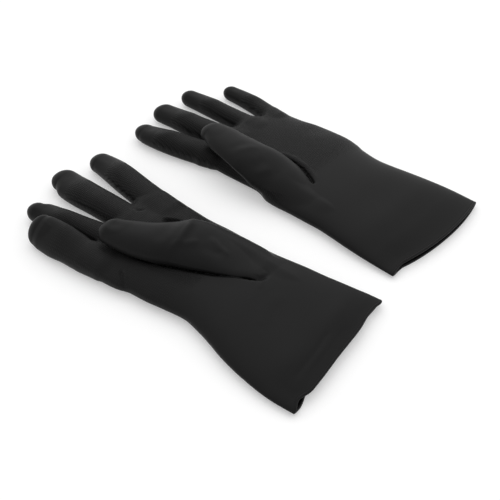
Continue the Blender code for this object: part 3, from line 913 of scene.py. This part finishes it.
# ---------------------------------------------------------------------------- materials
def rubber():
    mat = bpy.data.materials.new("black_rubber")
    mat.use_nodes = True
    nt = mat.node_tree
    nodes, links = nt.nodes, nt.links
    bsdf = nodes["Principled BSDF"]
    bsdf.inputs["IOR"].default_value = 1.5
    bsdf.inputs["Specular IOR Level"].default_value = 0.1
    coord = nodes.new("ShaderNodeUVMap")
    coord.uv_map = "UVMap"
    obj = nodes.new("ShaderNodeTexCoord")
    # slow blotches and fine dust over the black
    blotch = nodes.new("ShaderNodeTexNoise")
    blotch.inputs["Scale"].default_value = 14
    blotch.inputs["Detail"].default_value = 4
    links.new(obj.outputs["Object"], blotch.inputs["Vector"])
    fine = nodes.new("ShaderNodeTexNoise")
    fine.inputs["Scale"].default_value = 900
    fine.inputs["Detail"].default_value = 3
    links.new(obj.outputs["Object"], fine.inputs["Vector"])
    ramp = nodes.new("ShaderNodeValToRGB")
    ramp.color_ramp.elements[0].position = 0.3
    ramp.color_ramp.elements[0].color = (0.0064, 0.0064, 0.0065, 1)
    ramp.color_ramp.elements[1].position = 0.75
    ramp.color_ramp.elements[1].color = (0.0092, 0.0091, 0.0090, 1)
    links.new(blotch.outputs["Fac"], ramp.inputs["Fac"])
    rough = nodes.new("ShaderNodeMapRange")
    rough.inputs["From Min"].default_value = 0.3
    rough.inputs["From Max"].default_value = 0.7
    rough.inputs["To Min"].default_value = 0.38
    rough.inputs["To Max"].default_value = 0.48
    links.new(blotch.outputs["Fac"], rough.inputs["Value"])
    links.new(rough.outputs["Result"], bsdf.inputs["Roughness"])
    # grip pattern: a fine square waffle, 1.9 mm apart
    sep = nodes.new("ShaderNodeSeparateXYZ")
    links.new(coord.outputs["UV"], sep.inputs["Vector"])

    def wave(socket):
        m = nodes.new("ShaderNodeMath")
        m.operation = "MULTIPLY"
        m.inputs[1].default_value = 2 * math.pi * 100 / 1.95
        links.new(socket, m.inputs[0])
        s = nodes.new("ShaderNodeMath")
        s.operation = "SINE"
        links.new(m.outputs[0], s.inputs[0])
        p = nodes.new("ShaderNodeMapRange")
        p.inputs["From Min"].default_value = -0.55
        p.inputs["From Max"].default_value = 0.25
        p.interpolation_type = "SMOOTHSTEP"
        links.new(s.outputs[0], p.inputs["Value"])
        return p.outputs["Result"]

    both = nodes.new("ShaderNodeMath")
    both.operation = "MULTIPLY"
    links.new(wave(sep.outputs["X"]), both.inputs[0])
    links.new(wave(sep.outputs["Y"]), both.inputs[1])
    # painted shade: the up-facing pads are darkened, and so are the gaps of the waffle; the waffle's areas are
    # lightened as a painted sheen
    pad = nodes.new("ShaderNodeAttribute")
    pad.attribute_name = "pad"

    def arithmetic(kind, a, b):
        m = nodes.new("ShaderNodeMath")
        m.operation = kind
        for socket, v in zip(m.inputs, (a, b)):
            if isinstance(v, float):
                socket.default_value = v
            else:
                links.new(v, socket)
        return m.outputs[0]

    where = nodes.new("ShaderNodeAttribute")
    where.attribute_name = "grip"
    # painted sheen and painted shade of the waffle: its areas 0.4 lighter, its gaps darker
    gap_shade = arithmetic("MULTIPLY", arithmetic("SUBTRACT", 1.0, both.outputs[0]), where.outputs["Fac"])
    sheen_and_shade = arithmetic("SUBTRACT", arithmetic("ADD", 1.0, arithmetic("MULTIPLY", where.outputs["Fac"], 0.4)),
                      arithmetic("MULTIPLY", gap_shade, 0.85))
    # painted shade: the up-facing pads are up to 0.45 darker
    sheen_and_shade = arithmetic("MULTIPLY", sheen_and_shade, arithmetic("SUBTRACT", 1.0, arithmetic("MULTIPLY", pad.outputs["Fac"], 0.45)))
    shade = nodes.new("ShaderNodeVectorMath")
    shade.operation = "SCALE"
    links.new(ramp.outputs["Color"], shade.inputs[0])
    links.new(sheen_and_shade, shade.inputs["Scale"])
    links.new(shade.outputs["Vector"], bsdf.inputs["Base Color"])
    grip = nodes.new("ShaderNodeAttribute")
    grip.attribute_name = "grip"
    masked = nodes.new("ShaderNodeMath")
    masked.operation = "MULTIPLY"
    links.new(both.outputs[0], masked.inputs[0])
    links.new(grip.outputs["Fac"], masked.inputs[1])
    bump = nodes.new("ShaderNodeBump")
    bump.inputs["Strength"].default_value = 1.0
    bump.inputs["Distance"].default_value = 0.001
    links.new(masked.outputs[0], bump.inputs["Height"])
    bump2 = nodes.new("ShaderNodeBump")
    bump2.inputs["Strength"].default_value = 0.25
    bump2.inputs["Distance"].default_value = 0.00005
    links.new(fine.outputs["Fac"], bump2.inputs["Height"])
    links.new(bump.outputs["Normal"], bump2.inputs["Normal"])
    links.new(bump2.outputs["Normal"], bsdf.inputs["Normal"])
    return mat


def floor_and_light():
    mesh = bpy.data.meshes.new("floor")
    s = 6.0
    mesh.from_pydata([(-s, -s, 0), (s, -s, 0), (s, s, 0), (-s, s, 0)], [], [(0, 1, 2, 3)])
    floor = bpy.data.objects.new("floor", mesh)
    bpy.context.scene.collection.objects.link(floor)
    mat = bpy.data.materials.new("pale_floor")
    mat.use_nodes = True
    b = mat.node_tree.nodes["Principled BSDF"]
    b.inputs["Base Color"].default_value = (0.74, 0.74, 0.74, 1)
    b.inputs["Roughness"].default_value = 0.9
    b.inputs["Emission Color"].default_value = (1, 1, 1, 1)
    b.inputs["Emission Strength"].default_value = 0.3
    mesh.materials.append(mat)

    world = bpy.data.worlds.new("studio")
    bpy.context.scene.world = world
    world.use_nodes = True
    nt = world.node_tree
    bg = nt.nodes["Background"]
    bg.inputs["Strength"].default_value = 1.25
    # soft light that grows towards the far side of the table
    coord = nt.nodes.new("ShaderNodeTexCoord")
    dot = nt.nodes.new("ShaderNodeVectorMath")
    dot.operation = "DOT_PRODUCT"
    dot.inputs[1].default_value = (0.70, 0.57, 0.42)
    nt.links.new(coord.outputs["Generated"], dot.inputs[0])
    ramp = nt.nodes.new("ShaderNodeValToRGB")
    ramp.color_ramp.interpolation = "EASE"
    ramp.color_ramp.elements[0].position = 0.0
    ramp.color_ramp.elements[0].color = (0.58, 0.58, 0.58, 1)
    ramp.color_ramp.elements[1].position = 1.0
    ramp.color_ramp.elements[1].color = (0.86, 0.86, 0.86, 1)
    span = nt.nodes.new("ShaderNodeMapRange")
    span.inputs["From Min"].default_value = -0.6
    span.inputs["From Max"].default_value = 0.9
    nt.links.new(dot.outputs["Value"], span.inputs["Value"])
    nt.links.new(span.outputs["Result"], ramp.inputs["Fac"])
    nt.links.new(ramp.outputs["Color"], bg.inputs["Color"])

    def area(name, where, aim, size, power):
        light = bpy.data.lights.new(name, "AREA")
        light.shape = "RECTANGLE"
        light.size, light.size_y = size
        light.energy = power
        obj = bpy.data.objects.new(name, light)
        bpy.context.scene.collection.objects.link(obj)
        obj.location = where
        obj.rotation_euler = (Vector(aim) - Vector(where)).to_track_quat("-Z", "Y").to_euler()

    area("key", (0.9, 0.8, 1.6), (0, 0, 0), (1.6, 1.6), 5)
    bpy.context.scene.view_settings.view_transform = "Standard"
    bpy.context.scene.view_settings.look = "None"


def camera():
    E, A, D = math.radians(41.94), math.radians(-50.84), 0.7715
    target = Vector((-0.0336, -0.0383, 0))
    back = Vector((math.cos(E) * math.sin(A), -math.cos(E) * math.cos(A), math.sin(E)))
    cam = bpy.data.cameras.new("camera")
    cam.sensor_width = 36
    cam.lens = 36 * 833.7 / 500
    cam.clip_start = 0.01
    obj = bpy.data.objects.new("camera", cam)
    bpy.context.scene.collection.objects.link(obj)
    obj.location = target + back * D
    obj.rotation_euler = (-back).to_track_quat("-Z", "Y").to_euler()
    bpy.context.scene.camera = obj


def attach(side, g, made, bead_obj):
    """The hand piece and the mouth bead ride on the frame's bodies; the fingers, thumb and cuff stay where they were
    built, and the frame's own parts are hidden.
    """
    hand = f"{side}_hand"
    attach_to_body(made["hand"], hand)
    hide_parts(f"{side}_hand_shell")
    for name, tube in g["fingers"].items():
        y0 = g["knuckle"] + 7
        x = float(tube.at(y0)[0])
        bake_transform(made[name])
        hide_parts(f"{side}_{name}_finger_stall")
    y0 = g["thumb_root"]
    x = float(g["thumb"].at(y0)[0])
    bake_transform(made["thumb"])
    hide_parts(f"{side}_thumb_stall")
    y0 = g["wrist"]
    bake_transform(made["cuff"])
    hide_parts(f"{side}_gauntlet_cuff")
    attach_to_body(bead_obj, f"{side}_cuff")
    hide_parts(f"{side}_cuff_bead")


camera()
material = rubber()
for side, glove in (("right", RIGHT), ("left", LEFT)):
    made, ring, _ = build_glove(side, glove, material)
    attach(side, glove, made, bead(side, glove, ring, material))
floor_and_light()
